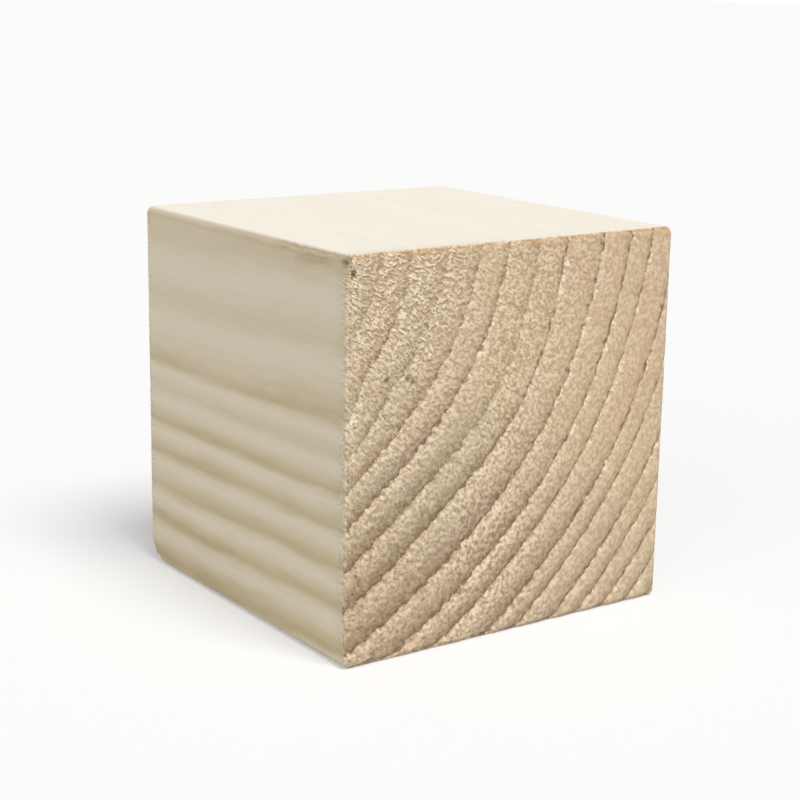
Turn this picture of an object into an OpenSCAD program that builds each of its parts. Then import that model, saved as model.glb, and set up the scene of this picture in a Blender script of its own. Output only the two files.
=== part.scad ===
// Wooden cube: one solid block of softwood. It is cross-cut from square stock
// that was planed with rounded long arrises, and its two sawn ends are sanded.
// So the fillet round each end runs smoothly round every long arris, and all
// eight corners are soft.
// +X runs across the grain, +Y runs along the grain and +Z is up.
// The origin is at the middle of the bottom face.

/* [Planed stock] */
// Width of the stock, across the grain
stock_w = 50; // [20:0.5:100]
// Height of the stock
stock_h = 50; // [20:0.5:100]
// Radius planed along the stock's four long arrises
long_arris_r = 1.0; // [0.8:0.1:4]

/* [Cross-cut block] */
// Length sawn off the stock, along the grain
cut_l = 50; // [20:0.5:100]
// Radius sanded round the two sawn ends, no larger than the long arrises' radius
end_arris_r = 0.7; // [0.3:0.1:0.8]

/* [Hidden] */

// Segments in a full circle
arris_steps = 96;

// Width and height between the centre lines of the long arrises
arris_pitch_w = stock_w - 2 * long_arris_r;
arris_pitch_h = stock_h - 2 * long_arris_r;

// A rectangle centred on the origin, with its four corners rounded
module rounded_rectangle(width, height, radius) {
    square([width - 2 * radius, height], center = true);
    square([width, height - 2 * radius], center = true);
    for (side_x = [-1, 1], side_y = [-1, 1])
        translate([side_x * (width / 2 - radius), side_y * (height / 2 - radius)])
            circle(r = radius, $fn = arris_steps);
}

// The block from its bottom face to its top face, between the long arrises
module full_height_core() {
    rotate([90, 0, 90])
        linear_extrude(height = arris_pitch_w, center = true)
            rounded_rectangle(cut_l, stock_h, end_arris_r);
}

// The block from one side face to the other, between the long arrises
module full_width_core() {
    linear_extrude(height = arris_pitch_h, center = true)
        rounded_rectangle(stock_w, cut_l, end_arris_r);
}

// Half of a lengthwise section through a round rod with its two ends eased. The
// square keeps the half on the +X side, and reaches past it on the other sides.
module half_rod_section() {
    intersection() {
        rounded_rectangle(2 * long_arris_r, cut_l, end_arris_r);
        translate([0, -cut_l])
            square(2 * cut_l);
    }
}

// One long arris: a quarter of that rod, which turns about the arris's centre
// line. A turn of 0 faces +X and +Z, and each 90 degrees more takes it round
// to the next arris.
module long_arris(turn) {
    side_x = sign(cos(turn + 45));
    side_z = sign(sin(turn + 45));
    translate([side_x * arris_pitch_w / 2, 0, side_z * arris_pitch_h / 2])
        rotate([90, 0, 0])
            rotate([0, 0, turn])
                rotate_extrude(angle = 90, $fn = arris_steps)
                    half_rod_section();
}

module wooden_cube() {
    color("burlywood")
        translate([0, 0, stock_h / 2]) {
            full_height_core();
            full_width_core();
            for (turn = [0:90:270])
                long_arris(turn);
        }
}

wooden_cube();
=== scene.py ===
"""A solid softwood cube, sawn from planed square stock, on a pale studio floor.

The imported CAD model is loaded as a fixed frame, and one detailed piece stands
for its one node. Everything is in metres in that frame. Sizes of the wood
itself, such as its growth rings, are easier to read in millimetres, so fields
that end in _mm hold those, and MM turns them to metres.
"""

import logging
import math
from collections.abc import Mapping, Sequence
from dataclasses import dataclass, field
from enum import Enum

import bpy
import numpy as np
from mathutils import Matrix, Vector, noise


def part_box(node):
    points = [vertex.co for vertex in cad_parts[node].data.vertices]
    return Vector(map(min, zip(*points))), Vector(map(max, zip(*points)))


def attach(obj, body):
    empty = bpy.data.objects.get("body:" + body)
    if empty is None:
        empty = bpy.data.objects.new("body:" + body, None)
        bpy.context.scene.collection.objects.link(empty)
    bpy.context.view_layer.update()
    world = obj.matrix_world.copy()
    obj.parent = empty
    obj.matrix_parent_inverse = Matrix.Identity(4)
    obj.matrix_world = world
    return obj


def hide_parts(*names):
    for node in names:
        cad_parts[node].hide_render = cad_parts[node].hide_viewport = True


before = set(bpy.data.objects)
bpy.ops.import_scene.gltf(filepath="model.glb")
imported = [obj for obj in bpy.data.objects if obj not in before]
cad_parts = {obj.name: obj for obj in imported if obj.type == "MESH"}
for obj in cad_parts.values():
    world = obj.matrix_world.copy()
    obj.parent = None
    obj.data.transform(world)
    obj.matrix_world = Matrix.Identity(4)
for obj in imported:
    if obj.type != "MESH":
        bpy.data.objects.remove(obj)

MM = 0.001
TINY = 1e-9
# Each finer layer of a noise is half as large as the one before, and half as strong
LAYER_FALL = 1.0
LAYER_STEP = 2.0

# A size along three axes in millimetres, and two numbers that belong together, such as where
# a thing starts and where it is full
SizeMM = tuple[float, float, float]
Span = tuple[float, float]

log = logging.getLogger("wooden_cube")


# ---------------------------------------------------------------- small tools


def linear(hex_colour: str) -> tuple[float, float, float, float]:
    """Turns an sRGB colour into the linear one that a shader takes.

    Args:
        hex_colour: The colour as "#RRGGBB".

    Returns:
        Linear red, green and blue, and an alpha of 1.
    """
    channels = [int(hex_colour[i : i + 2], 16) / 255 for i in (1, 3, 5)]
    curved = [c / 12.92 if c <= 0.04045 else ((c + 0.055) / 1.055) ** 2.4 for c in channels]
    return (*curved, 1.0)


def smooth(values: np.ndarray, low: float, high: float) -> np.ndarray:
    """Rises smoothly from 0 at low to 1 at high.

    Args:
        values: The numbers to look up.
        low: Where the rise starts.
        high: Where the rise ends.

    Returns:
        A number from 0 to 1 for each value.
    """
    share = np.clip((values - low) / (high - low), 0, 1)
    return share * share * (3 - 2 * share)


def hump(values: np.ndarray, middle: float, width: float) -> np.ndarray:
    """A bell that is 1 at middle and about a third of that one width away.

    Args:
        values: The numbers to look up.
        middle: Where the bell peaks.
        width: How wide the bell is.

    Returns:
        A number from 0 to 1 for each value.
    """
    return np.exp(-(((values - middle) / width) ** 2))


@dataclass(frozen=True)
class Pattern:
    """Fractal noise: the size of its largest lumps, how many layers it has, and its own place in it."""

    size_mm: SizeMM
    layers: int
    place: float

    def at(self, points: np.ndarray) -> np.ndarray:
        """Looks the pattern up, the same on each run.

        Args:
            points: One row of x, y and z for each point, in millimetres.

        Returns:
            A number of about -1 to 1 for each point.
        """
        rows = (points / np.array(self.size_mm) + self.place).tolist()
        return np.array([noise.fractal(row, LAYER_FALL, LAYER_STEP, self.layers) for row in rows])


Socket = bpy.types.NodeSocket
Setting = float | tuple[float | bpy.types.Node, ...] | Socket | bpy.types.Node
Inputs = Mapping[int | str | tuple[int, ...], Setting]


def add_node(
    tree: bpy.types.NodeTree,
    kind: str,
    inputs: Inputs,
    stops: Sequence[tuple[float, str]] = (),
    **settings: object,
) -> bpy.types.Node:
    """Adds one node with its settings and links.

    Args:
        tree: The node tree that gets the node.
        kind: Blender's name for the node's type, without its first word ShaderNode.
        inputs: What goes into each input, by its name or number: a constant, an
            output socket, or a node, which stands for its first output in use.
            Numbers in brackets take the values beside them one by one.
        stops: Places and sRGB hex colours, for a node that holds a colour ramp.
        **settings: Values for the node's own properties.

    Returns:
        The new node.
    """
    node = tree.nodes.new("ShaderNode" + kind)
    for name, value in settings.items():
        setattr(node, name, value)
    for keys, values in inputs.items():
        for key, value in zip(keys, values) if isinstance(keys, tuple) else [(keys, values)]:
            if isinstance(value, bpy.types.Node):
                value = next(socket for socket in value.outputs if socket.enabled)
            if isinstance(value, Socket):
                tree.links.new(value, node.inputs[key])
            else:
                node.inputs[key].default_value = value
    for number, (place, colour) in enumerate(stops):
        ramp = node.color_ramp.elements
        stop = ramp[number] if number < 2 else ramp.new(place)
        stop.position = place
        stop.color = linear(colour)
    return node


# ------------------------------------------------------------------- the wood


@dataclass(frozen=True)
class GrowthRings:
    """Where each year's growth lies in the block.

    The block was cut beside the pith, so its rings are arcs round a line that
    runs along the grain outside the block. Places are in millimetres from the
    middle of the block.
    """

    pith_x: float = -49.2
    pith_z: float = 36.8
    first_line: float = 27.9
    # About the middle of the front end: distance from the pith, and degrees below level
    middle_radius: float = 50.0
    middle_deg: float = 38.0
    # Growth of each year from the pith side outwards, wide when the tree was young
    year_widths: tuple[float, ...] = (
        4.5, 4.5, 4.5, 4.5, 4.0, 4.5, 4.5, 5.5, 4.4, 3.4, 4.5, 2.8, 3.9, 3.0, 3.2, 3.0, 3.0, 3.0,
    )
    # Darkness of each year's late growth, where it isn't full
    pale_years: tuple[tuple[int, float], ...] = ((1, 0.38), (2, 0.35), (3, 0.9), (4, 0.4), (5, 0.9))
    # One year loses this share of its darkness above the turn, in degrees below level
    fading_year: int = 7
    fading: float = 0.75
    fading_years: float = 0.5
    turn_deg: Span = (42.0, 54.0)
    # The rings ripple everywhere, and more about one radius, given with the width of the change.
    # One ripple fills each span of degrees, and stands highest at the peak
    ripple: float = 0.2
    more_ripple: float = 0.5
    more_ripple_at: Span = (57.0, 5.0)
    ripple_peak_deg: float = 32.0
    ripple_span_deg: float = 38.0
    # Near the pith they lie further out with each degree below level, as their centre is elsewhere
    off_centre: float = 0.08
    off_centre_from: Span = (36.0, 9.0)
    off_centre_deg: float = 37.0
    # They swell below the turn about one radius, and turn outwards beside the left side
    swelling: float = 2.0
    swelling_at: Span = (40.0, 4.0)
    side_turn: float = 0.45
    side_turn_x: Span = (-25.0, -22.0)
    less_side_turn: float = 0.3
    less_side_turn_deg: Span = (60.0, 66.0)
    # They lean outwards over this much of the way from the front end, and snake a little
    front_y: float = -25.0
    lean: float = 0.7
    lean_span: Span = (0.0, 40.0)
    snaking: float = 0.1
    snaking_spans: Span = (6.0, 4.0)

    def lines(self) -> np.ndarray:
        """Radius of the dark line that ends each year, with one spare inside the block's reach."""
        inner = self.first_line - self.year_widths[0]
        return inner + np.cumsum((0.0, self.year_widths[0], *self.year_widths))

    def polar(self, points: np.ndarray) -> tuple[np.ndarray, np.ndarray]:
        """Places each point round the pith.

        Args:
            points: Points in the block, in millimetres.

        Returns:
            The distance from the pith, and the angle below level in degrees.
        """
        across = points[:, 0] - self.pith_x
        down = self.pith_z - points[:, 2]
        return np.hypot(across, down), np.degrees(np.arctan2(down, across))

    def waviness(self, points: np.ndarray, radius: np.ndarray, angle: np.ndarray) -> np.ndarray:
        """How far the rings stand out from true circles.

        Args:
            points: Points in the block, in millimetres.
            radius: Their distance from the pith.
            angle: Their angle below level, in degrees.

        Returns:
            The distance in millimetres, positive away from the pith.
        """
        height = self.ripple + self.more_ripple * hump(radius, *self.more_ripple_at)
        turns = np.radians(angle - self.ripple_peak_deg) * 360 / self.ripple_span_deg
        ripple = height * np.cos(turns)
        start, reach = self.off_centre_from
        shift = self.off_centre * np.exp(-np.maximum(radius - start, 0) / reach)
        off_centre = shift * (angle - self.off_centre_deg)
        swelling = self.swelling * smooth(angle, *self.turn_deg) * hump(radius, *self.swelling_at)
        side_turn = self.side_turn - self.less_side_turn * smooth(angle, *self.less_side_turn_deg)
        near_side = (1 - smooth(points[:, 0], *self.side_turn_x)) * side_turn
        along = points[:, 1] - self.front_y
        snaking = self.snaking * np.sin(along / self.snaking_spans[0] + radius / self.snaking_spans[1])
        lean = self.lean * smooth(along, *self.lean_span) + snaking
        return ripple + off_centre + swelling + near_side + lean

    def count(self, points: np.ndarray) -> np.ndarray:
        """Years of growth out to each point, whole numbers falling on the dark lines.

        Args:
            points: Points in the block, in millimetres.

        Returns:
            A number that rises by 1 over each ring.
        """
        radius, angle = self.polar(points)
        true_radius = radius - self.waviness(points, radius, angle)
        lines = self.lines()
        return np.interp(true_radius, lines, np.arange(len(lines), dtype=float))

    def darkness(self, points: np.ndarray) -> np.ndarray:
        """How dark the late growth is at each point.

        Args:
            points: Points in the block, in millimetres.

        Returns:
            A number from 0, none, to 1, full.
        """
        share = np.ones(len(self.lines()))
        for year, dark in self.pale_years:
            share[year] = dark
        years = self.count(points)
        angle = self.polar(points)[1]
        faded = hump(years, self.fading_year, self.fading_years) * (1 - smooth(angle, *self.turn_deg))
        return np.interp(years, np.arange(len(share)), share) * (1 - self.fading * faded)

    def grain(self, points: np.ndarray) -> np.ndarray:
        """Each point's place in the tree: out from the pith, round it and along it.

        Args:
            points: Points in the block, in millimetres.

        Returns:
            Three distances in millimetres for each point.
        """
        radius, angle = self.polar(points)
        around = np.radians(angle - self.middle_deg) * self.middle_radius
        return np.stack((radius, around, points[:, 1]), axis=1)


class Face(Enum):
    """The six faces: the axis each one looks along, which way, and its part of the colour map.

    The map gives the sawn ends the most room, since their pattern is the finest.
    """

    FRONT_END = (1, -1, (0.0, 0.5), (0.5, 0.5))
    BACK_END = (1, 1, (0.5, 0.5), (0.5, 0.5))
    LEFT_SIDE = (0, -1, (0.0, 0.0), (0.25, 0.5))
    RIGHT_SIDE = (0, 1, (0.25, 0.0), (0.25, 0.5))
    BASE = (2, -1, (0.5, 0.0), (0.25, 0.5))
    TOP = (2, 1, (0.75, 0.0), (0.25, 0.5))

    def __init__(
        self, axis: int, sign: int, corner: tuple[float, float], extent: tuple[float, float]
    ) -> None:
        """Keeps the parts of the value by name.

        Args:
            axis: 0, 1 or 2 for x, y or z.
            sign: 1 or -1, the way the face looks along that axis.
            corner: Lower left corner of the face's tile in the colour map.
            extent: Width and height of that tile.
        """
        self.axis = axis
        self.sign = sign
        self.corner = corner
        self.extent = extent


@dataclass(frozen=True)
class Mark:
    """A small flaw in the surface: where it is, how wide and how deep, in millimetres, and how much
    darker.
    """

    place: tuple[float, float, float]
    radius: float
    depth: float
    darkening: float = 0.0


# ------------------------------------------------------------------- finishes


@dataclass(frozen=True)
class SandedSpruce:
    """Spruce with planed sides and sawn, lightly sanded ends, left without oil or varnish.

    Planed sides are pale cream, nearly matt and crossed by soft tan bands, one
    for each year's late growth; the top is painted paler, with fainter bands, as a
    painted highlight. The ends show cut fibres: they soak up light, so they look
    browner. Torn fibre tips are painted pale, partly their own colour and partly
    painted highlight, and the gaps between them get painted shade. Where the rings
    run nearly level each year darkens towards its line, partly late wood and partly
    painted shade, and the arrises and the ends' lower left get painted shade too.
    """

    side_early: str = "#EBDFC7"
    # Painted highlight: paler early wood for the top, where the lamp falls most
    top_early_highlight: str = "#E8E2D5"
    # Through one year on a planed side, from one dark line out to the next
    side_year: tuple[tuple[float, str], ...] = (
        (0.0, "#CDBB93"),
        (1.0, "#CDBB93"),
        (0.06, "#D6C6A2"),
        (0.14, "#E3D5B8"),
        (0.28, "#EDE2CC"),
        (0.45, "#EADEC6"),
        (0.62, "#DFD0B1"),
        (0.80, "#D0BE96"),
        (0.93, "#C5B186"),
    )
    side_streak: str = "#DCCBAA"
    # The same on a sawn end: where the rings run steeply, and where they run nearly level; there each
    # year darkens to its line, partly late wood and partly painted shade, as if its slope faced down from
    # the lamp
    end_plain_year: tuple[tuple[float, str], ...] = (
        (0.0, "#CCB697"),
        (1.0, "#C2A98A"),
        (0.06, "#D8C3A5"),
        (0.15, "#D8C0A2"),
        (0.50, "#D6BE9F"),
        (0.78, "#D1B898"),
        (0.90, "#CBB494"),
    )
    end_year_with_shade: tuple[tuple[float, str], ...] = (
        (0.0, "#B39D85"),
        (1.0, "#917A60"),
        (0.06, "#C8B39A"),
        (0.15, "#D5C2AA"),
        (0.35, "#D4C0A8"),
        (0.50, "#CCB89F"),
        (0.65, "#BFAB93"),
        (0.80, "#B29D84"),
        (0.92, "#9F8A71"),
    )
    end_line: str = "#77593B"
    worn_end: str = "#E2D7BC"
    pink_tint: str = "#FFF9F6"
    green_tint: str = "#F9FBF2"
    # Pale torn fibre tips, partly their own colour and partly painted highlight, and painted shade in the
    # gaps between them and below curled fibres
    fibre_tip_and_highlight: str = "#FCEBCB"
    fibre_gap_shade: str = "#8E7353"
    # Painted shade, multiplied over the arrises and over the ends' lower left
    painted_shade_tint: str = "#DCCBB4"
    # Darkens the small flaws, and paints a thin line of shade along the upper left arris
    flaw_and_arris_shade: str = "#634D28"
    ior: float = 1.54
    side_roughness: float = 0.55
    end_roughness: float = 0.85
    # Sizes of lumps out from the pith, round it and along the grain, in millimetres.
    # Real fibres are 0.03 mm thick, too fine to show, so the finest lumps are far coarser
    tufts_mm: SizeMM = (0.95, 0.62, 1.1)
    grit_mm: SizeMM = (0.72, 0.50, 0.8)
    dust_mm: SizeMM = (0.47, 0.36, 0.6)
    curls_mm: SizeMM = (1.02, 1.08, 1.3)
    curl_pieces_mm: SizeMM = (0.52, 0.54, 0.9)
    wander_mm: SizeMM = (0.7, 0.55, 30.0)
    hairs_mm: SizeMM = (0.45, 0.45, 14.0)
    dashes_mm: SizeMM = (3.0, 0.75, 20.0)
    teeth_mm: SizeMM = (0.8, 0.38, 1.0)
    stretches_mm: SizeMM = (2.5, 2.2, 20.0)
    # A curled fibre shades the wood this far below it. Straight up on the front end is a step
    # out from the pith and a step round it
    curl_shade_mm: float = 0.26
    upward: Span = (0.5, 0.85)
    # How far torn tufts reach over the end's arris: with how torn the wood is, and anyhow.
    # The side's look gives way to the end's over the second pair, about the line where they meet
    ragged_mm: Span = (3.0, 0.4)
    ragged_edge_mm: Span = (-0.2, 0.2)
    # Relief of the fibres, and how high each pattern stands in it against the grit
    relief_mm: float = 0.16
    tuft_height: float = 0.6
    curl_height: float = 0.35
    dust_height: float = 0.35
    # How far the rings wander at the scale of the fibres, in years
    side_wander: float = 0.03
    end_wander: float = 0.10
    # Each pattern runs from 0 to 1. A thing starts at the first number and is full at the second
    hair_span: Span = (0.40, 0.75)
    dash_span: Span = (0.43, 0.57)
    hole_span: Span = (0.48, 0.33)
    tip_span: Span = (0.51, 0.61)
    curl_piece_span: Span = (0.48, 0.53)
    stretch_span: Span = (0.40, 0.56)
    # Curled fibres follow the middle of their pattern, so theirs are distances from it, and
    # the rim's are heights of its teeth
    curl_span: Span = (0.11, 0.07)
    tooth_span: Span = (0.62, 0.80)
    # The same over a year's growth: the dark line comes and goes, and fibre tips get fewer
    # where the rings run steeply and where they run nearly level, in each year's painted shade
    line_start: Span = (0.86, 0.95)
    line_stop: Span = (0.985, 1.0)
    fewer_along: Span = (0.35, 0.92)
    fewer_across: Span = (0.15, 0.80)
    # How strongly each thing shows, from 0 to 1; pairs are for where the rings run steeply and
    # where they run nearly level
    hairs: float = 0.20
    line_gaps: Span = (0.12, 0.30)
    # The dark line, and the share of it that is left where the next year starts
    line: float = 0.80
    line_after: float = 0.4
    worn: float = 0.5
    holes: Span = (0.74, 1.0)
    tips: float = 0.95
    tips_by_line: Span = (0.62, 0.32)
    rim: Span = (1.0, 0.40)
    # How high the teeth of the rim stand, how fast they end away from the dark line, and how
    # much of the rim is left where it is sparse
    tooth_height: float = 1.5
    tooth_slope: float = -2.1
    sparse_rim: float = 0.20
    # The same for holes and tips in matted fibre, inside the face and worn at its edge
    matted: Span = (0.50, 0.90)
    curl_shade: float = 0.50
    matted_shade: float = 0.16

    def build(self) -> bpy.types.Material:
        """Makes the material's nodes.

        Returns:
            The material.
        """
        material = bpy.data.materials.new("sanded_spruce")
        material.use_nodes = True
        tree = material.node_tree
        tree.nodes.clear()
        parts = SpruceNodes(tree, self)
        shader = add_node(
            tree,
            "BsdfPrincipled",
            {
                "Base Color": parts.colour(),
                "Roughness": parts.roughness(),
                "Normal": parts.normal(),
                "IOR": self.ior,
                "Metallic": 0.0,
            },
        )
        add_node(tree, "OutputMaterial", {"Surface": shader})
        return material


class SpruceNodes:
    """The node tree of the spruce, one method for each thing the eye sees in it."""

    def __init__(self, tree: bpy.types.NodeTree, finish: SandedSpruce) -> None:
        """Reads what the mesh carries about the wood, and makes the patterns that several methods share.

        Args:
            tree: An empty material tree.
            finish: The wood's colours, sizes and strengths.
        """
        self.tree = tree
        self.finish = finish
        names = (
            "grain", "ring", "band", "upper", "ridged", "line", "torn",
            "matted", "fringe", "tint", "painted_shade", "darkening", "end_mm",
        )
        self.wood = {name: self.add("Attribute", {}, attribute_name=name) for name in names}
        self.tufts = self.fibres(finish.tufts_mm, 3.0)
        self.grit = self.fibres(finish.grit_mm, 7.0)
        self.dust = self.fibres(finish.dust_mm, 13.0)
        self.end = self.end_mask()
        self.curls = self.curled_fibres(0.0)

    def add(self, kind: str, inputs: Inputs, **settings: object) -> bpy.types.Node:
        """Adds one node to this tree, as add_node() does."""
        return add_node(self.tree, kind, inputs, **settings)

    def fibres(self, size_mm: SizeMM, shift: float, above_mm: float = 0.0) -> bpy.types.Node:
        """A pattern of lumps drawn out the way wood fibres are.

        Args:
            size_mm: Size of the lumps out from the pith, round it and along the grain.
            shift: Moves to another part of the pattern.
            above_mm: Takes the pattern from this far nearer the top of the front end.

        Returns:
            The node that holds it, from 0 to 1.
        """
        share = tuple(1 / size for size in size_mm)
        rise = (*self.finish.upward, 0.0)
        location = tuple(shift - step * above_mm * part for step, part in zip(rise, share))
        place = {"Vector": self.wood["grain"], "Location": location, "Scale": share}
        moved = self.add("Mapping", place)
        lumps = {"Vector": moved, "Scale": 1.0, "Detail": 1.5, "Roughness": 0.5}
        return self.add("TexNoise", lumps)

    def end_mask(self) -> bpy.types.Node:
        """Tells the sawn ends from the sides, with a ragged edge of torn fibre between.

        Returns:
            The node that is 1 on the ends and 0 on the sides.
        """
        lifted = self.add("Math", {0: self.tufts, 1: 0.5}, operation="SUBTRACT")
        inputs = {0: self.wood["torn"], (1, 2): self.finish.ragged_mm}
        reach = self.add("Math", inputs, operation="MULTIPLY_ADD")
        inputs = {0: lifted, 1: reach, 2: self.wood["end_mm"]}
        torn = self.add("Math", inputs, operation="MULTIPLY_ADD")
        inputs = {0: torn, (1, 2): self.finish.ragged_edge_mm}
        return self.add("MapRange", inputs, interpolation_type="SMOOTHSTEP")

    def curled_fibres(self, above_mm: float) -> bpy.types.Node:
        """Short curled fibres that the saw tore up.

        Args:
            above_mm: Gives the fibres that lie this far above each point, which shade it.

        Returns:
            The node that is 1 on the fibres and 0 between them.
        """
        finish = self.finish
        swirl = self.fibres(finish.curls_mm, 90.0, above_mm)
        centred = self.add("Math", {0: swirl, 1: 0.5}, operation="SUBTRACT")
        away = self.add("Math", {0: centred}, operation="ABSOLUTE")
        inputs = {0: away, (1, 2): finish.curl_span}
        lines = self.add("MapRange", inputs, interpolation_type="SMOOTHSTEP")
        broken = self.fibres(finish.curl_pieces_mm, 57.0, above_mm)
        inputs = {0: broken, (1, 2): finish.curl_piece_span}
        pieces = self.add("MapRange", inputs, interpolation_type="SMOOTHSTEP")
        return self.add("Math", {0: lines, 1: pieces}, operation="MULTIPLY")

    def phase(self, wander: float) -> bpy.types.Node:
        """Where a point lies in its year's growth, from 0 to 1.

        Args:
            wander: How far the rings wander at the scale of the fibres, in years.

        Returns:
            The node that holds it.
        """
        lumps = self.fibres(self.finish.wander_mm, 11.0)
        inputs = {0: lumps, 1: wander, 2: self.wood["ring"]}
        moved = self.add("Math", inputs, operation="MULTIPLY_ADD")
        centred = self.add("Math", {0: moved, 1: wander / 2}, operation="SUBTRACT")
        return self.add("Math", {0: centred}, operation="FRACT")

    def side_colour(self) -> bpy.types.Node:
        """Colour of the planed sides: cream with a soft tan band for each year, and the top painted
        paler, a painted highlight.

        Returns:
            The node that holds the colour.
        """
        finish = self.finish
        year = self.add("ValToRGB", {0: self.phase(finish.side_wander)}, stops=finish.side_year)
        # Painted highlight: the top takes paler early wood
        inputs = {0: self.wood["upper"], 6: linear(finish.side_early), 7: linear(finish.top_early_highlight)}
        early = self.add("Mix", inputs, data_type="RGBA")
        tone = self.add("Mix", {0: self.wood["band"], 6: early, 7: year}, data_type="RGBA")
        hairs = self.fibres(finish.hairs_mm, 21.0)
        inputs = {0: hairs, (1, 2): finish.hair_span, (3, 4): (0.0, finish.hairs)}
        streaks = self.add("MapRange", inputs)
        inputs = {0: streaks, 6: tone, 7: linear(finish.side_streak)}
        return self.add("Mix", inputs, data_type="RGBA")

    def end_colour(self, phase: bpy.types.Node) -> bpy.types.Node:
        """Colour of the sawn ends: browner, each year darker towards a dark line, with painted shade on
        it in the lower left.

        Args:
            phase: Where a point lies in its year's growth.

        Returns:
            The node that holds the colour.
        """
        finish = self.finish
        plain = self.add("ValToRGB", {0: phase}, stops=finish.end_plain_year)
        # Where the rings run nearly level, each year darkens more towards its line: late wood colour and
        # painted shade
        ridged = self.add("ValToRGB", {0: phase}, stops=finish.end_year_with_shade)
        tone = self.add("Mix", {0: self.wood["ridged"], 6: plain, 7: ridged}, data_type="RGBA")
        tints = {0: self.wood["tint"], 6: linear(finish.pink_tint), 7: linear(finish.green_tint)}
        tint = self.add("Mix", tints, data_type="RGBA")
        tone = self.add("Mix", {0: 1.0, 6: tone, 7: tint}, data_type="RGBA", blend_type="MULTIPLY")
        inputs = {0: phase, (1, 2): finish.line_start}
        near = self.add("MapRange", inputs, interpolation_type="SMOOTHSTEP")
        inputs = {0: phase, (1, 2): finish.line_stop, (3, 4): (1.0, finish.line_after)}
        past = self.add("MapRange", inputs)
        dashes = self.fibres(finish.dashes_mm, 31.0)
        least = self.add("MapRange", {0: self.wood["ridged"], (3, 4): finish.line_gaps})
        inputs = {0: dashes, (1, 2): finish.dash_span, (3, 4): (least, finish.line)}
        breaks = self.add("MapRange", inputs)
        share = near
        for part in (past, breaks, self.wood["line"]):
            share = self.add("Math", {0: share, 1: part}, operation="MULTIPLY")
        tone = self.add("Mix", {0: share, 6: tone, 7: linear(finish.end_line)}, data_type="RGBA")
        pale = self.add("Math", {0: self.wood["fringe"], 1: finish.worn}, operation="MULTIPLY")
        return self.add("Mix", {0: pale, 6: tone, 7: linear(finish.worn_end)}, data_type="RGBA")

    def torn_fibres(self, tone: bpy.types.Node, phase: bpy.types.Node) -> bpy.types.Node:
        """Lays pale torn fibre tips, partly painted highlight, and the dark gaps between them and below
        curled fibres, painted shade, over the wood.

        Args:
            tone: The colour below.
            phase: Where a point lies in its year's growth.

        Returns:
            The node that holds the colour.
        """
        finish = self.finish
        torn = self.wood["torn"]
        matted = self.wood["matted"]
        lumps = self.add("Mix", {0: matted, 2: self.dust, 3: self.grit})
        most = self.add("MapRange", {0: self.wood["ridged"], (3, 4): finish.holes})
        frayed = self.add("MapRange", {0: self.wood["fringe"], (3, 4): finish.matted})
        deepest = self.add("Mix", {0: matted, 2: most, 3: frayed})
        inputs = {0: lumps, (1, 2): finish.hole_span, (3, 4): (0.0, deepest)}
        holes = self.add("MapRange", inputs)
        below = self.curled_fibres(finish.curl_shade_mm)
        shaded = self.add("Math", {0: below, 1: matted}, operation="MULTIPLY")
        base = self.add("Math", {0: matted, 1: finish.matted_shade}, operation="MULTIPLY")
        inputs = {0: shaded, 1: finish.curl_shade, 2: base}
        shade = self.add("Math", inputs, operation="MULTIPLY_ADD")
        dark = self.add("Math", {0: holes, 1: shade}, operation="MAXIMUM")
        gaps = self.add("Math", {0: dark, 1: torn}, operation="MULTIPLY")
        # Painted shade in the gaps between torn fibres, below the curled ones and over matted fibre
        tone = self.add("Mix", {0: gaps, 6: tone, 7: linear(finish.fibre_gap_shade)}, data_type="RGBA")
        share = self.add("Mix", {0: matted, 2: finish.tips, 3: frayed})
        inputs = {0: lumps, (1, 2): finish.tip_span, (3, 4): (0.0, share)}
        dots = self.add("MapRange", inputs, interpolation_type="SMOOTHSTEP")
        curls = self.add("Math", {0: self.curls, 1: matted}, operation="MULTIPLY")
        bright = self.add("Math", {0: curls, 1: dots}, operation="MAXIMUM")
        fewer = []
        for span, least in zip((finish.fewer_along, finish.fewer_across), finish.tips_by_line):
            inputs = {0: phase, (1, 2): span, (3, 4): (1.0, least)}
            fewer.append(self.add("MapRange", inputs, interpolation_type="SMOOTHSTEP"))
        lit = self.add("Mix", {0: self.wood["ridged"], (2, 3): tuple(fewer)})
        for part in (torn, lit):
            bright = self.add("Math", {0: bright, 1: part}, operation="MULTIPLY")
        both = self.add("Math", {0: bright, 1: self.ragged_rim(phase)}, operation="MAXIMUM")
        # Pale fibre tips and the rim, partly painted highlight
        return self.add("Mix", {0: both, 6: tone, 7: linear(finish.fibre_tip_and_highlight)}, data_type="RGBA")

    def ragged_rim(self, phase: bpy.types.Node) -> bpy.types.Node:
        """Tips of the soft wood that stands, torn, just outside each dark line, painted pale, partly as
        painted highlight.

        Args:
            phase: Where a point lies in its year's growth.

        Returns:
            The node that is 1 on a tip.
        """
        finish = self.finish
        teeth = self.fibres(finish.teeth_mm, 17.0)
        high = self.add("Math", {0: teeth, 1: finish.tooth_height}, operation="MULTIPLY")
        inputs = {0: phase, 1: finish.tooth_slope, 2: high}
        ledge = self.add("Math", inputs, operation="MULTIPLY_ADD")
        inputs = {0: ledge, (1, 2): finish.tooth_span}
        rim = self.add("MapRange", inputs, interpolation_type="SMOOTHSTEP")
        stretches = self.fibres(finish.stretches_mm, 44.0)
        inputs = {0: stretches, (1, 2): finish.stretch_span, (3, 4): (finish.sparse_rim, 1.0)}
        clumped = self.add("MapRange", inputs, interpolation_type="SMOOTHSTEP")
        even = self.add("MapRange", {0: self.wood["ridged"], (3, 4): finish.rim})
        for part in (clumped, self.wood["line"], even, self.end):
            rim = self.add("Math", {0: rim, 1: part}, operation="MULTIPLY")
        return rim

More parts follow.
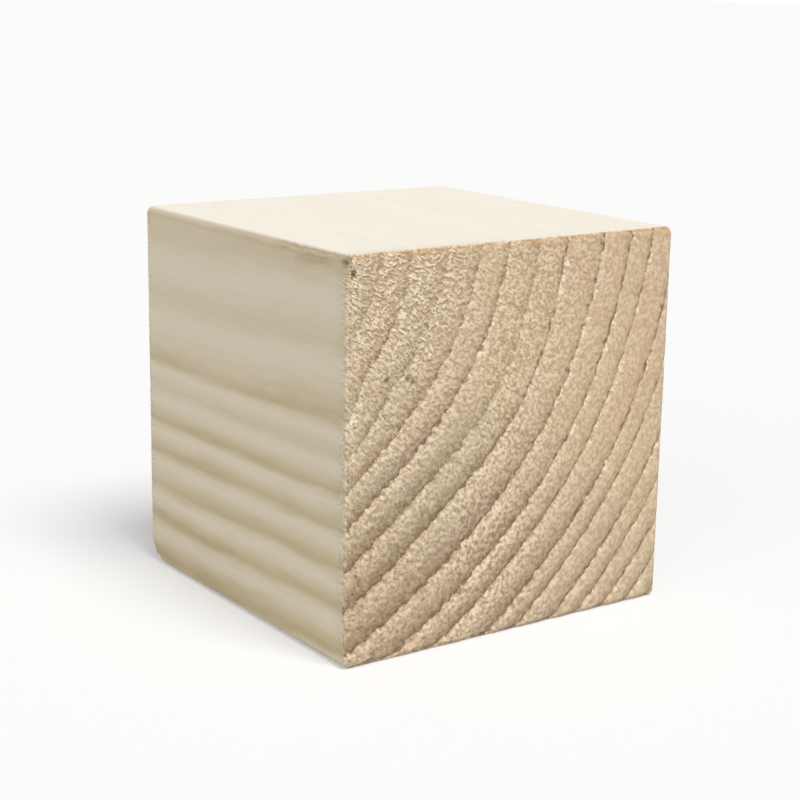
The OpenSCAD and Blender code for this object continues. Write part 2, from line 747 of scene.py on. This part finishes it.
    def colour(self) -> bpy.types.Node:
        """Puts the whole colour of the wood together.

        Returns:
            The node that holds it.
        """
        finish = self.finish
        phase = self.phase(finish.end_wander)
        inputs = {0: self.end, 6: self.side_colour(), 7: self.end_colour(phase)}
        tone = self.torn_fibres(self.add("Mix", inputs, data_type="RGBA"), phase)
        # Painted shade on the arrises and the ends' lower left
        inputs = {0: self.wood["painted_shade"], 6: tone, 7: linear(finish.painted_shade_tint)}
        tone = self.add("Mix", inputs, data_type="RGBA", blend_type="MULTIPLY")
        # The flaws darken, and painted shade lines the upper left arris
        return self.add("Mix", {0: self.wood["darkening"], 6: tone, 7: linear(finish.flaw_and_arris_shade)}, data_type="RGBA")

    def roughness(self) -> bpy.types.Node:
        """Nearly matt on the planed sides and quite matt on the sawn ends."""
        finish = self.finish
        return self.add("MapRange", {0: self.end, 3: finish.side_roughness, 4: finish.end_roughness})

    def normal(self) -> bpy.types.Node:
        """Adds fine fibre relief, too small for the mesh.

        Returns:
            The node that holds the direction the surface faces.
        """
        finish = self.finish
        inputs = {0: self.tufts, 1: finish.tuft_height, 2: self.grit}
        lumps = self.add("Math", inputs, operation="MULTIPLY_ADD")
        curls = self.add("Math", {0: self.curls, 1: self.wood["matted"]}, operation="MULTIPLY")
        inputs = {0: curls, 1: finish.curl_height, 2: lumps}
        rough = self.add("Math", inputs, operation="MULTIPLY_ADD")
        torn = self.add("Math", {0: rough, 1: self.wood["torn"]}, operation="MULTIPLY")
        fine = self.add("Math", {0: self.dust, 1: self.end}, operation="MULTIPLY")
        inputs = {0: fine, 1: finish.dust_height, 2: torn}
        height = self.add("Math", inputs, operation="MULTIPLY_ADD")
        inputs = {"Strength": 1.0, "Distance": finish.relief_mm * MM, "Height": height}
        return self.add("Bump", inputs)


# ------------------------------------------------------------------ the block


@dataclass(frozen=True)
class WearAndShade:
    """How much the saw and use have changed the bare wood, and how much painted shade lies on it, as
    shares from 0 to 1.
    """

    # How torn the end grain is everywhere, how much more at most, and more again at the left arris
    torn: float = 0.34
    more_torn: float = 0.66
    torn_arris: float = 0.20
    # How torn the side is where the upper left arris is splintered
    splinters: float = 0.28
    # Painted shade on the ends: on their upper arrises, where the lamp lights their curve, below those,
    # and at the foot on the left and by its arris
    upper_arris: float = 0.9
    below_arris: float = 0.08
    foot: float = 0.28
    foot_arris: float = 0.30
    # Painted shade along the upper left arris, where the lamp lights its curve: a strip and how much more
    # near the front end, spots where it is splintered, and a thin dark line and how much more near the
    # front end
    painted_shade: float = 0.32
    more_painted_shade: float = 0.22
    splinter_shade: float = 0.7
    arris_shade: float = 0.22
    more_arris_shade: float = 0.14


@dataclass
class CubeBlock:
    """The one solid block, with its arrises, its relief and its small flaws.

    Radii repeat the part's source. Relief only cuts into the block, so the
    block stays inside its CAD size. Where a method fades something in or out,
    the limits stand there, in millimetres from a side or the block's middle.
    """

    low: Vector
    high: Vector
    rings: GrowthRings = field(default_factory=GrowthRings)
    long_arris_mm: float = 1.0
    end_arris_mm: float = 0.7
    # The net of points: cells over each side, cells over each arris, and how often it is drawn on
    cells_across: int = 172
    cells_along: int = 56
    arris_cells: int = 5
    rounding_steps: int = 6
    tile_margin: float = 0.01
    # Depths of what is cut in: rings and torn fibre on the ends, rings and planer ridges on the
    # sides, wear on all arrises, chips on the ends' arrises and splinters on the upper left one
    ring_relief_mm: float = 0.28
    torn_relief_mm: float = 0.18
    side_relief_mm: float = 0.02
    planer_relief_mm: float = 0.012
    wear_mm: float = 0.03
    more_wear_mm: float = 0.10
    chip_mm: float = 0.25
    splinter_mm: float = 0.5
    # The middle of the splintered stretch along the grain, and its length
    splinter_y_mm: float = -17.0
    splinter_length_mm: float = 9.0
    # How far over the end's arris the end grain shows on the sides
    end_overlap_mm: float = 0.40
    wear: WearAndShade = WearAndShade()
    # Patterns over the surface, with lumps along x, y and z
    torn_patches: Pattern = Pattern((9.0, 9.0, 9.0), 2, 40.0)
    fringe_edge: Pattern = Pattern((3.0, 3.0, 3.0), 2, 47.0)
    fringe_clumps: Pattern = Pattern((2.2, 2.2, 2.2), 2, 49.0)
    torn_grit: Pattern = Pattern((0.8, 4.0, 0.8), 3, 0.0)
    planer_ridges: Pattern = Pattern((0.7, 9.0, 0.7), 2, 5.0)
    arris_waste: Pattern = Pattern((1.2, 6.0, 1.2), 3, 17.0)
    arris_chips: Pattern = Pattern((0.8, 0.8, 0.8), 3, 27.0)
    shade_patches: Pattern = Pattern((2.2, 2.2, 2.2), 2, 60.0)
    shade_spots: Pattern = Pattern((1.6, 2.6, 1.2), 3, 64.0)
    ring_tear: Pattern = Pattern((0.9, 6.0, 0.9), 2, 33.0)
    # Patterns of the tree, with lumps out from the pith, round it and along the grain
    band_clouds: Pattern = Pattern((5.0, 6.0, 30.0), 2, 70.0)
    ridged_edge: Pattern = Pattern((9.0, 12.0, 40.0), 2, 80.0)
    tint_patches: Pattern = Pattern((6.0, 22.0, 60.0), 2, 95.0)
    # Two dark spots by the front corner, three pits below them, two dents in the upper left
    # arris, and a soft corner at the back
    marks: tuple[Mark, ...] = (
        Mark((-24.9, -24.2, 24.1), 0.58, 0.35, 0.9),
        Mark((-24.25, -25.0, 22.75), 0.56, 0.35, 0.9),
        Mark((-16.4, -25.0, 9.7), 0.56, 0.35, 0.66),
        Mark((-15.7, -25.0, 9.2), 0.52, 0.35, 0.62),
        Mark((-19.4, -25.0, 9.9), 0.48, 0.30, 0.60),
        Mark((-24.8, -7.0, 24.8), 0.9, 0.25),
        Mark((-24.8, -13.5, 24.8), 0.8, 0.22),
        Mark((-25.0, 25.0, -25.0), 3.4, 0.5),
    )

    @property
    def half_mm(self) -> np.ndarray:
        """Half of the block's size along each axis, in millimetres."""
        return np.array(self.high - self.low) / 2 / MM

    def stations(self, axis: int) -> np.ndarray:
        """Places of the lattice lines along one axis, closer over the arrises.

        Args:
            axis: 0, 1 or 2 for x, y or z.

        Returns:
            Places in millimetres from the middle of the block.
        """
        half = self.half_mm[axis]
        radius = self.end_arris_mm if axis == 1 else self.long_arris_mm
        cells = self.cells_along if axis == 1 else self.cells_across
        turn = np.linspace(0, math.pi / 4, self.arris_cells + 1)[1:]
        arris = half - radius + radius * np.tan(turn)
        flat = np.linspace(radius - half, half - radius, cells - 2 * self.arris_cells + 1)
        return np.concatenate((-arris[::-1], flat, arris))

    def distance(self, points: np.ndarray) -> tuple[np.ndarray, np.ndarray]:
        """Measures points against the block's rounded form.

        Args:
            points: Points near the surface, in millimetres from the middle.

        Returns:
            The distance outside the surface, and the outward direction.
        """
        half = self.half_mm
        square = np.abs(points[:, (0, 2)]) - (half[[0, 2]] - self.long_arris_mm)
        outside = np.maximum(square, 0)
        reach = np.linalg.norm(outside, axis=1)
        section = reach + np.minimum(square.max(axis=1), 0) - self.long_arris_mm
        flat = np.eye(2)[square.argmax(axis=1)]
        rim = np.where(reach[:, None] > 0, outside / np.maximum(reach, TINY)[:, None], flat)
        depth = np.stack((section, np.abs(points[:, 1]) - half[1]), axis=1) + self.end_arris_mm
        over = np.maximum(depth, 0)
        lift = np.linalg.norm(over, axis=1)
        gap = lift + np.minimum(depth.max(axis=1), 0) - self.end_arris_mm
        plain = np.eye(2)[depth.argmax(axis=1)]
        share = np.where(lift[:, None] > 0, over / np.maximum(lift, TINY)[:, None], plain)
        normal = np.stack((rim[:, 0] * share[:, 0], share[:, 1], rim[:, 1] * share[:, 0]), axis=1)
        return gap, normal * np.sign(points)

    def lattice(self) -> tuple[np.ndarray, list[list[int]], list[list[tuple[float, float]]]]:
        """Makes the net of points over the block, before any relief.

        Returns:
            The points in millimetres, the four-sided faces, and each face's
            places in the colour map.
        """
        stations = [self.stations(axis) for axis in range(3)]
        counts = [len(line) for line in stations]
        steps = np.indices(counts).reshape(3, -1)
        last = np.array(counts)[:, None] - 1
        shell = ((steps == 0) | (steps == last)).any(axis=0)
        numbers = np.full(len(shell), -1)
        numbers[shell] = np.arange(shell.sum())
        numbers = numbers.reshape(counts)
        places = np.stack([stations[axis][steps[axis, shell]] for axis in range(3)], axis=1)
        faces: list[list[int]] = []
        tiles: list[list[tuple[float, float]]] = []
        for face in Face:
            across, up = [axis for axis in range(3) if axis != face.axis]
            sheet = np.take(numbers, 0 if face.sign < 0 else -1, axis=face.axis)
            right_handed = (up - across) % 3 == 1
            reverse = right_handed != (face.sign > 0)
            faces += self.cells(sheet, reverse)
            tiles += self.cells(self.tile(face, across, up), reverse)
        return places, faces, tiles

    @staticmethod
    def cells(table: np.ndarray, reverse: bool) -> list:
        """Gathers the four corners of each cell of one side of the net.

        Args:
            table: What each point of the side holds, laid out as the side is.
            reverse: True to go round each cell the other way, so that it looks outwards.

        Returns:
            What the four corners hold, for each cell.
        """
        rows, columns = table.shape[:2]
        order = ((0, 0), (1, 0), (1, 1), (0, 1))
        parts = [
            table[i : rows - 1 + i, j : columns - 1 + j]
            for i, j in (order[::-1] if reverse else order)
        ]
        return np.stack(parts, axis=2).reshape(-1, 4, *table.shape[2:]).tolist()

    def tile(self, face: Face, across: int, up: int) -> np.ndarray:
        """Places in the colour map for the points of one side of the net.

        Args:
            face: The side.
            across: The side's first axis.
            up: The side's second axis.

        Returns:
            Two places, from 0 to 1, for each point of the side.
        """
        inside = (self.tile_margin, 1 - self.tile_margin)
        shares = [
            np.interp(self.stations(axis), (-self.half_mm[axis], self.half_mm[axis]), inside)
            for axis in (across, up)
        ]
        first, second = np.meshgrid(*shares, indexing="ij")
        along, over = (second, first) if up == 1 else (first, second)
        left, bottom = face.corner
        width, height = face.extent
        return np.stack((left + along * width, bottom + over * height), axis=-1)

    def rounded(self, points: np.ndarray) -> tuple[np.ndarray, np.ndarray]:
        """Lays the lattice's points on the block's rounded form.

        Args:
            points: The lattice's points, in millimetres.

        Returns:
            The moved points and the outward direction at each.
        """
        radii = np.array((self.long_arris_mm, self.end_arris_mm, self.long_arris_mm))
        core = np.clip(points, radii - self.half_mm, self.half_mm - radii)
        offset = points - core
        moved = core + radii * offset / np.linalg.norm(offset, axis=1)[:, None]
        for _ in range(self.rounding_steps):
            gap, normal = self.distance(moved)
            moved = moved - gap[:, None] * normal
        return moved, self.distance(moved)[1]

    def from_left(self, points: np.ndarray) -> np.ndarray:
        """How far each point lies from the left side, in millimetres."""
        return points[:, 0] + self.half_mm[0]

    def from_top(self, points: np.ndarray) -> np.ndarray:
        """How far each point lies below the top, in millimetres."""
        return self.half_mm[2] - points[:, 2]

    def end_distance(self, points: np.ndarray) -> np.ndarray:
        """Distance over the surface from the line where end grain begins.

        Args:
            points: Points on the rounded form, in millimetres.

        Returns:
            Millimetres, positive on the ends and negative on the sides.
        """
        half = self.half_mm
        inset = np.minimum(half[0] - np.abs(points[:, 0]), half[2] - np.abs(points[:, 2]))
        back = half[1] - np.abs(points[:, 1])
        return np.clip(inset, 0, 3) - np.clip(back, 0, 3)

    def coarseness(self, points: np.ndarray) -> np.ndarray:
        """How torn the end grain is: most at the left of the front end, where the saw came out.

        Args:
            points: Points on the rounded form, in millimetres.

        Returns:
            A number from wear.torn to 1.
        """
        wear = self.wear
        from_left = self.from_left(points)
        from_top = self.from_top(points)
        patches = self.torn_patches.at(points)
        spread = 1 - smooth(from_left + 0.10 * from_top + 4 * patches, 4, 46)
        at_arris = (1 - smooth(from_left, 0.3, 2.0)) * (1 - smooth(from_top, 22, 34))
        front = 1 - 0.8 * smooth(points[:, 1], -20, 20)
        more = front * (wear.more_torn * spread + wear.torn_arris * at_arris)
        return np.clip(wear.torn + more, 0, 1)

    def fringe(self, points: np.ndarray) -> np.ndarray:
        """How worn and pale the end grain is, beside the front end's left arris.

        Args:
            points: Points on the rounded form, in millimetres.

        Returns:
            A number from 0 to 1.
        """
        from_left = self.from_left(points)
        width = 1.6 + 1.2 * self.fringe_edge.at(points)
        lower = smooth(self.from_top(points), 20, 36)
        clumps = 0.75 + 0.6 * self.fringe_clumps.at(points)
        worn = 1 - smooth(from_left, 0.3, 1.0 + width)
        worn *= 0.25 + 0.75 * smooth(from_left, 0.05, 0.4)
        worn *= (1 - 0.9 * lower) * (points[:, 1] < 0)
        return np.clip(worn * clumps, 0, 1)

    def relief(self, points: np.ndarray, normals: np.ndarray, wood: dict[str, np.ndarray]) -> np.ndarray:
        """How far the surface is cut in at each point, apart from the small flaws.

        Args:
            points: Points on the rounded form, in millimetres.
            normals: The outward direction at each.
            wood: What wood() says of each point.

        Returns:
            Depth in millimetres, never below 0.
        """
        # Each year's wood stands up just past one dark line and sinks towards the next, sooner
        # where the saw ran across the rings
        phase = wood["ring"] % 1
        fall = 0.72 - 0.42 * wood["ridged"]
        slope = np.clip((phase - fall) / (1.04 - fall), 0, 1)
        pillow = smooth(phase, 0, 0.15) * (1 - 0.9 * slope * slope * (3 - 2 * slope))
        on_end = smooth(np.abs(normals[:, 1]), 0.35, 0.95)
        grit = 0.5 + 0.5 * self.torn_grit.at(points)
        torn = self.torn_relief_mm * wood["torn"] * grit
        steep = (0.55 + 0.45 * wood["ridged"]) * wood["line"]
        end_depth = self.ring_relief_mm * steep * (1 - pillow) + torn
        ridges = 0.5 + 0.5 * self.planer_ridges.at(points)
        side_depth = self.side_relief_mm * (1 - pillow) + self.planer_relief_mm * ridges
        # All arrises are worn, the ends' are chipped too, and the upper left one is splintered
        turned = self.arris(normals)
        waste = self.arris_waste.at(points)
        wear = turned * (self.wear_mm + self.more_wear_mm * np.clip(waste + 0.2, 0, 1))
        chips = np.clip(self.arris_chips.at(points) + 0.3, 0, 1)
        on_rim = smooth(np.abs(normals[:, 1]), 0.1, 0.5)
        edge = self.chip_mm * chips * turned * on_rim * wood["torn"]
        stretch = hump(points[:, 1], self.splinter_y_mm, self.splinter_length_mm)
        splinters = chips * turned * stretch * smooth(-normals[:, 0], 0.1, 0.4)
        edge += self.splinter_mm * splinters * smooth(normals[:, 2], 0.1, 0.4)
        total = on_end * end_depth + (1 - on_end) * side_depth + wear + edge
        return np.maximum(total, 0)

    @staticmethod
    def arris(normals: np.ndarray) -> np.ndarray:
        """How far round an arris each point lies: 0 on the flats and 1 where it faces two ways."""
        return np.clip((1 - np.abs(normals).max(axis=1)) / (1 - math.sqrt(0.5)), 0, 1)

    def marked(self, points: np.ndarray, normals: np.ndarray) -> tuple[np.ndarray, np.ndarray]:
        """Depth and darkening of the small flaws, and the painted shade along the upper left arris.

        Args:
            points: Points on the rounded form, in millimetres.
            normals: The outward direction at each.

        Returns:
            Depth in millimetres and darkness from 0 to 1 at each point.
        """
        depth = np.zeros(len(points))
        darkening = np.zeros(len(points))
        for mark in self.marks:
            away = np.linalg.norm(points - np.array(mark.place), axis=1)
            share = 1 - smooth(away, 0.3 * mark.radius, mark.radius)
            depth = np.maximum(depth, mark.depth * share)
            darkening = np.maximum(darkening, mark.darkening * share)
        # Painted shade: a thin dark line along the upper left arris, where the lamp lights its curve
        front = 1 - smooth(points[:, 1], -12, 6)
        flaw_and_arris_shade = (self.wear.arris_shade + self.wear.more_arris_shade * front) * hump(self.from_top(points), 0.32, 0.58)
        return depth, np.maximum(darkening, flaw_and_arris_shade * smooth(-normals[:, 0], 0.2, 0.8))

    def splintered(self, points: np.ndarray) -> np.ndarray:
        """How broken the wood is along the upper left arris, beside the front end.

        Args:
            points: Points on the rounded form, in millimetres.

        Returns:
            A number from 0 to 1.
        """
        stretch = hump(points[:, 1], self.splinter_y_mm, self.splinter_length_mm)
        return stretch * hump(self.from_top(points), 0.9, 1.3)

    def painted_shade(self, points: np.ndarray, normals: np.ndarray) -> np.ndarray:
        """How much painted shade darkens each point.

        It lies on the ends' upper arrises, where the lamp lights their curve, at
        their foot on the left, and along the upper left arris.

        Args:
            points: Points on the rounded form, in millimetres.
            normals: The outward direction at each.

        Returns:
            A number from 0 to 1.
        """
        wear = self.wear
        from_left = self.from_left(points)
        from_top = self.from_top(points)
        on_end = smooth(np.abs(normals[:, 1]), 0.02, 0.35)
        upper = wear.upper_arris * (1 - smooth(from_top, 0.1, 1.1))
        below = wear.below_arris * (1 - smooth(from_top, 1.2, 3.4))
        patches = 0.8 + 0.5 * self.shade_patches.at(points)
        near = wear.foot_arris * smooth(from_left, 0.2, 0.9) * (1 - smooth(from_left, 1.0, 3.0))
        near *= 1 - smooth(from_top, 40, 49)
        foot = (wear.foot + near) * smooth(from_top, 23, 40) * (1 - smooth(from_left, 4, 27))
        spots = np.clip(0.5 + 1.3 * self.shade_spots.at(points), 0, 1)
        torn = wear.splinter_shade * spots * self.splintered(points)
        front = 1 - smooth(points[:, 1], -16, 4)
        even = (wear.painted_shade + wear.more_painted_shade * front) * hump(from_top + 0.12 * front, 0.42, 0.65)
        along = smooth(-normals[:, 0], 0.1, 0.6) * np.maximum(torn, even)
        return np.clip((np.maximum(upper, below) * patches + foot) * on_end + along, 0, 1)

    def wood(self, points: np.ndarray, normals: np.ndarray) -> dict[str, np.ndarray]:
        """What the material needs to know about the wood at each point.

        Args:
            points: Points on the rounded form, in millimetres.
            normals: The outward direction at each.

        Returns:
            Numbers by name, one for each point.
        """
        coarse = self.coarseness(points)
        fringe = self.fringe(points)
        radius, angle = self.rings.polar(points)
        darkness = self.rings.darkness(points)
        grain = self.rings.grain(points)
        tear = (0.05 + 0.06 * coarse) * self.ring_tear.at(points)
        clouds = 0.85 + 0.4 * self.band_clouds.at(grain)
        facing_up = smooth(normals[:, 2], 0.3, 0.9)
        beside = smooth(self.end_distance(points), -2.8, 0.4)
        # Where the rings run nearly level, in the lower left of the ends; the end colour paints shade on
        # each year there
        ridged = smooth(angle + 4 * self.ridged_edge.at(grain), 28, 52)
        splinters = self.splintered(points) * smooth(-normals[:, 0], 0.1, 0.6)
        matted = smooth(coarse, 0.66, 0.94) * (1 - 0.55 * ridged)
        near_pith = (1 - smooth(angle, 22, 40)) * (1 - smooth(radius, 40, 48))
        return {
            "ring": self.rings.count(points) + tear,
            # Painted highlight on the top: its bands nearly vanish, and the upper mask gives it paler
            # early wood
            "band": np.clip(darkness * clouds, 0, 1) * (1 - 0.92 * facing_up),
            "upper": facing_up,
            "ridged": ridged * (0.35 + 0.65 * smooth(radius, 38, 52)),
            "line": darkness * (1 - 0.8 * near_pith),
            "torn": np.maximum(coarse * beside, self.wear.splinters * splinters),
            "matted": np.maximum(matted, fringe),
            "fringe": fringe,
            "tint": np.clip(0.5 + 0.9 * self.tint_patches.at(grain), 0, 1),
            "painted_shade": self.painted_shade(points, normals),
            "end_mm": self.end_distance(points) + self.end_overlap_mm,
        }

    def make(self) -> bpy.types.Object:
        """Builds the block's mesh, with what its material needs to know.

        Returns:
            The new object, linked to the scene.
        """
        flat_points, faces, tiles = self.lattice()
        points, normals = self.rounded(flat_points)
        wood = self.wood(points, normals)
        mark_depth, wood["darkening"] = self.marked(points, normals)
        depth = self.relief(points, normals, wood) + mark_depth
        middle = np.array(self.low + self.high) / 2
        carved = (points - depth[:, None] * normals) * MM + middle
        mesh = bpy.data.meshes.new("cube_block")
        mesh.from_pydata(carved.tolist(), [], faces)
        mesh.shade_smooth()
        layer = mesh.uv_layers.new(name="OFBake")
        layer.uv.foreach_set("vector", np.array(tiles, dtype=np.float32).ravel())
        for name, numbers in wood.items():
            data = mesh.attributes.new(name, "FLOAT", "POINT").data
            data.foreach_set("value", numbers.astype(np.float32))
        data = mesh.attributes.new("grain", "FLOAT_VECTOR", "POINT").data
        data.foreach_set("vector", self.rings.grain(points).astype(np.float32).ravel())
        block = bpy.data.objects.new("cube_block", mesh)
        bpy.context.scene.collection.objects.link(block)
        return block

    def dress(self, block: bpy.types.Object, finish: SandedSpruce) -> None:
        """Gives the block its finish and its place in the frame.

        Args:
            block: The object that make() returned.
            finish: The wood's finish.
        """
        block.data.materials.append(finish.build())
        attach(block, "root")
        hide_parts("wooden_cube")


# ----------------------------------------------------------------- the studio


def seen_background(tree: bpy.types.NodeTree) -> bpy.types.Node:
    """Tells what is seen, by the camera or in gloss or glass, from what only gives light.

    Args:
        tree: The tree that asks.

    Returns:
        A node that gives 1 for what is seen and 0 for the rest.
    """
    rays = add_node(tree, "LightPath", {}).outputs
    mirrored = {0: rays["Is Glossy Ray"], 1: rays["Is Transmission Ray"]}
    indirect = add_node(tree, "Math", mirrored, operation="MAXIMUM")
    return add_node(tree, "Math", {0: rays["Is Camera Ray"], 1: indirect}, operation="MAXIMUM")


@dataclass(frozen=True)
class PaperFloor:
    """Matt white background paper: it shows soft shadows and no reflections."""

    paper: str = "#C8C8C8"
    # Added where the paper is seen and not where it lights the block, so that it comes out white
    lift: float = 0.33

    def build(self) -> bpy.types.Material:
        """Makes the paper's nodes.

        Returns:
            The material.
        """
        material = bpy.data.materials.new("white_paper")
        material.use_nodes = True
        tree = material.node_tree
        tree.nodes.clear()
        paper = add_node(tree, "BsdfDiffuse", {"Color": linear(self.paper)})
        lift = {0: seen_background(tree), 1: self.lift}
        strength = add_node(tree, "Math", lift, operation="MULTIPLY")
        glow = add_node(tree, "Emission", {"Strength": strength})
        both = add_node(tree, "AddShader", {0: paper, 1: glow})
        add_node(tree, "OutputMaterial", {"Surface": both})
        return material


@dataclass(frozen=True)
class Lamp:
    """A large soft lamp, far enough away to light the whole set evenly."""

    name: str
    towards: tuple[float, float, float]
    strength: float
    angle_deg: float
    colour: str = "#FFFFFF"


@dataclass
class Studio:
    """The floor, the lamps, the room's own light and the camera."""

    low: Vector
    high: Vector
    floor: PaperFloor = PaperFloor()
    floor_size: float = 8.0
    room_light: float = 0.32
    wall: str = "#FFFFFF"
    # A key lamp high over the sawn end, and a weak one for the left side
    lamps: tuple[Lamp, ...] = (
        Lamp("key_lamp", (0.04, -0.46, 0.86), 2.52, 28.0),
        Lamp("fill_lamp", (-0.85, -0.30, 0.45), 0.56, 50.0, "#FDF9F0"),
    )
    # The camera stands in front of the edge between the left side and the front
    # end, a little above the top, and its picture leans by one degree
    camera_azimuth: float = -35.2
    camera_elevation: float = 13.6
    camera_cubes_away: float = 4.8
    camera_lean: float = 0.95
    lens_mm: float = 80.0
    sensor_mm: float = 36.0
    nearest: float = 0.01

    def build_floor(self) -> bpy.types.Object:
        """Lays the floor that the block stands on.

        Returns:
            The floor object.
        """
        half = self.floor_size / 2
        corners = [(-half, -half), (half, -half), (half, half), (-half, half)]
        mesh = bpy.data.meshes.new("studio_floor")
        mesh.from_pydata([(x, y, self.low.z) for x, y in corners], [], [(0, 1, 2, 3)])
        mesh.materials.append(self.floor.build())
        plane = bpy.data.objects.new("studio_floor", mesh)
        bpy.context.scene.collection.objects.link(plane)
        return plane

    def hang_lamps(self) -> None:
        """Hangs each lamp where it shines on the block."""
        for lamp in self.lamps:
            light = bpy.data.lights.new(lamp.name, "SUN")
            light.energy = lamp.strength
            light.angle = math.radians(lamp.angle_deg)
            light.color = linear(lamp.colour)[:3]
            item = bpy.data.objects.new(lamp.name, light)
            item.location = Vector(lamp.towards).normalized()
            item.rotation_euler = Vector(lamp.towards).to_track_quat("Z", "Y").to_euler()
            bpy.context.scene.collection.objects.link(item)

    def light_room(self) -> None:
        """Fills the room with even light, and shows a white wall behind."""
        world = bpy.data.worlds.new("studio_room")
        world.use_nodes = True
        tree = world.node_tree
        tree.nodes.clear()
        inputs = {0: seen_background(tree), 3: self.room_light, 4: 1.0}
        strength = add_node(tree, "MapRange", inputs)
        sky = add_node(tree, "Background", {"Color": linear(self.wall), "Strength": strength})
        add_node(tree, "OutputWorld", {"Surface": sky})
        bpy.context.scene.world = world

    def place_camera(self) -> bpy.types.Object:
        """Stands the camera and aims it at the block's middle.

        Returns:
            The camera object.
        """
        azimuth = math.radians(self.camera_azimuth)
        elevation = math.radians(self.camera_elevation)
        middle = (self.low + self.high) / 2
        back = Vector(
            (
                math.sin(azimuth) * math.cos(elevation),
                -math.cos(azimuth) * math.cos(elevation),
                math.sin(elevation),
            )
        )
        data = bpy.data.cameras.new("camera")
        data.lens = self.lens_mm
        data.sensor_width = self.sensor_mm
        data.clip_start = self.nearest
        data.clip_end = 4 * self.floor_size
        camera = bpy.data.objects.new("camera", data)
        distance = self.camera_cubes_away * (self.high.x - self.low.x)
        upright = (-back).to_track_quat("-Z", "Y").to_matrix().to_4x4()
        lean = Matrix.Rotation(math.radians(self.camera_lean), 4, "Z")
        camera.matrix_world = Matrix.Translation(middle + back * distance) @ upright @ lean
        bpy.context.scene.collection.objects.link(camera)
        bpy.context.scene.camera = camera
        return camera


def main() -> None:
    """Builds the block and the studio round it."""
    logging.basicConfig(level=logging.INFO, format="%(name)s: %(message)s")
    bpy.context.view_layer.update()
    low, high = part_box("wooden_cube")
    studio = Studio(low, high)
    studio.place_camera()
    studio.build_floor()
    studio.hang_lamps()
    studio.light_room()
    log.info("studio: floor, %d lamps, room light and camera", len(studio.lamps))
    cube = CubeBlock(low, high)
    block = cube.make()
    cube.dress(block, SandedSpruce())
    log.info("%s: %d points, %d faces", block.name, len(block.data.vertices), len(block.data.polygons))
    scene = bpy.context.scene
    scene.view_settings.view_transform = "Standard"
    bpy.context.view_layer.update()


if __name__ == "__main__":
    main()
